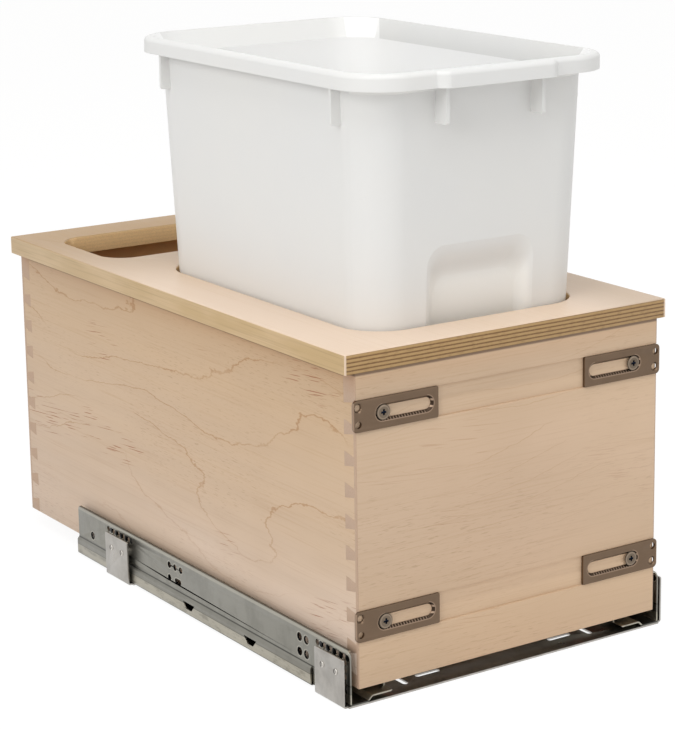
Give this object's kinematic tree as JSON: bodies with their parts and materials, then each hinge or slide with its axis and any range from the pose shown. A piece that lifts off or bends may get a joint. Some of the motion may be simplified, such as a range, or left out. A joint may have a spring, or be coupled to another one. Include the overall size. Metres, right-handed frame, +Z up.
{
  "type": "pull out trash cabinet",
  "caption": "Pull-out waste unit: dovetailed wooden box with a plywood deck, lift-out plastic bin and rear storage well, on full-extension undermount runners, with door brackets.",
  "frame": {"origin": "bottom centre of the whole object's bounding box: on the cabinet floor, midway across and midway from the front screw heads to the back of the deck", "axes": "+X to the right seen from the front, +Y towards the back of the cabinet, +Z up from the cabinet floor; the drawer opens towards -Y"},
  "size_m": [0.3276, 0.5748, 0.492],
  "materials": {
    "maple": "clear satin lacquer on flat-sawn maple",
    "maple_plywood": "clear satin lacquer, bare plies on the front edge",
    "bin_plastic": "white moulded polyethylene, fine matte",
    "galvanised_steel": "zinc-plated sheet, satin",
    "bright_steel": "zinc-plated strip, glossy",
    "bronze_bracket": "satin bronze-nickel plate",
    "screw_steel": "nickel plate",
    "dark_plastic": "moulded, matte",
    "grey_plastic": "moulded, matte",
    "lever_plastic": "moulded, satin"
  },
  "bodies": {
    "runner_base": {"front_cross_plate": "bright_steel", "rear_cross_plate": "bright_steel", "clip_rivets": "galvanised_steel", "left_cabinet_profile": "galvanised_steel", "left_soft_close_housing": "dark_plastic", "left_soft_close_catch": "grey_plastic", "left_soft_close_damper": "bright_steel", "right_cabinet_profile": "galvanised_steel", "right_soft_close_housing": "dark_plastic", "right_soft_close_catch": "grey_plastic", "right_soft_close_damper": "bright_steel"},
    "drawer": {"front_board": "maple", "back_board": "maple", "bottom_panel": "maple", "hook_cleat": "maple", "top_deck": "maple_plywood", "deck_dowels": "maple", "locking_clip_screws": "screw_steel", "bracket_screws": "screw_steel", "left_drawer_profile": "galvanised_steel", "left_side_board": "maple", "left_locking_clip": "grey_plastic", "right_drawer_profile": "galvanised_steel", "right_side_board": "maple", "right_locking_clip": "grey_plastic"},
    "bin": {"trash_bin": "bin_plastic"},
    "left_middle_slide": {"left_middle_profile": "galvanised_steel"},
    "left_lower_carriage": {"left_lower_roller_cage": "grey_plastic", "left_lower_rollers": "dark_plastic"},
    "left_upper_carriage": {"left_upper_roller_cage": "grey_plastic", "left_upper_rollers": "dark_plastic"},
    "left_lever": {"left_release_lever": "lever_plastic"},
    "upper_left_bracket": {"upper_left_door_bracket": "bronze_bracket"},
    "lower_left_bracket": {"lower_left_door_bracket": "bronze_bracket"},
    "right_middle_slide": {"right_middle_profile": "galvanised_steel"},
    "right_lower_carriage": {"right_lower_roller_cage": "grey_plastic", "right_lower_rollers": "dark_plastic"},
    "right_upper_carriage": {"right_upper_roller_cage": "grey_plastic", "right_upper_rollers": "dark_plastic"},
    "right_lever": {"right_release_lever": "lever_plastic"},
    "upper_right_bracket": {"upper_right_door_bracket": "bronze_bracket"},
    "lower_right_bracket": {"lower_right_door_bracket": "bronze_bracket"}
  },
  "joints": [
    {"name": "drawer_slide", "type": "slide", "parent": "runner_base", "child": "drawer", "axis": [0, -1, 0], "range_m": [0, 0.45]},
    {"name": "bin_lift", "type": "slide", "parent": "drawer", "child": "bin", "axis": [0, 0, 1], "range_m": [0, 0.3]},
    {"name": "left_middle_travel", "type": "slide", "parent": "runner_base", "child": "left_middle_slide", "axis": [0, -1, 0], "range_m": [0, 0.2255]},
    {"name": "left_lower_carriage_travel", "type": "slide", "parent": "runner_base", "child": "left_lower_carriage", "axis": [0, -1, 0], "range_m": [0, 0.113]},
    {"name": "left_upper_carriage_travel", "type": "slide", "parent": "runner_base", "child": "left_upper_carriage", "axis": [0, -1, 0], "range_m": [0, 0.338]},
    {"name": "upper_left_bracket_adjust", "type": "slide", "parent": "drawer", "child": "upper_left_bracket", "axis": [-1, 0, 0], "range_m": [0, 0.0405]},
    {"name": "lower_left_bracket_adjust", "type": "slide", "parent": "drawer", "child": "lower_left_bracket", "axis": [-1, 0, 0], "range_m": [0, 0.0405]},
    {"name": "left_lever_squeeze", "type": "hinge", "parent": "drawer", "child": "left_lever", "pos_m": [-0.1058, -0.22807, 0.02195], "axis": [0, 0, 1], "range_deg": [0, 12], "stiffness_Nm_per_rad": 0.05, "springref_deg": -11.46},
    {"name": "right_middle_travel", "type": "slide", "parent": "runner_base", "child": "right_middle_slide", "axis": [0, -1, 0], "range_m": [0, 0.2255]},
    {"name": "right_lower_carriage_travel", "type": "slide", "parent": "runner_base", "child": "right_lower_carriage", "axis": [0, -1, 0], "range_m": [0, 0.113]},
    {"name": "right_upper_carriage_travel", "type": "slide", "parent": "runner_base", "child": "right_upper_carriage", "axis": [0, -1, 0], "range_m": [0, 0.338]},
    {"name": "upper_right_bracket_adjust", "type": "slide", "parent": "drawer", "child": "upper_right_bracket", "axis": [1, 0, 0], "range_m": [0, 0.0405]},
    {"name": "lower_right_bracket_adjust", "type": "slide", "parent": "drawer", "child": "lower_right_bracket", "axis": [1, 0, 0], "range_m": [0, 0.0405]},
    {"name": "right_lever_squeeze", "type": "hinge", "parent": "drawer", "child": "right_lever", "pos_m": [0.1058, -0.22807, 0.02195], "axis": [0, 0, -1], "range_deg": [0, 12], "stiffness_Nm_per_rad": 0.05, "springref_deg": -11.46}
  ],
  "couplings": [
    {"joint": "left_middle_travel", "follows": "drawer_slide", "ratio": 0.5},
    {"joint": "left_lower_carriage_travel", "follows": "drawer_slide", "ratio": 0.25},
    {"joint": "left_upper_carriage_travel", "follows": "drawer_slide", "ratio": 0.75},
    {"joint": "right_middle_travel", "follows": "drawer_slide", "ratio": 0.5},
    {"joint": "right_lower_carriage_travel", "follows": "drawer_slide", "ratio": 0.25},
    {"joint": "right_upper_carriage_travel", "follows": "drawer_slide", "ratio": 0.75}
  ]
}
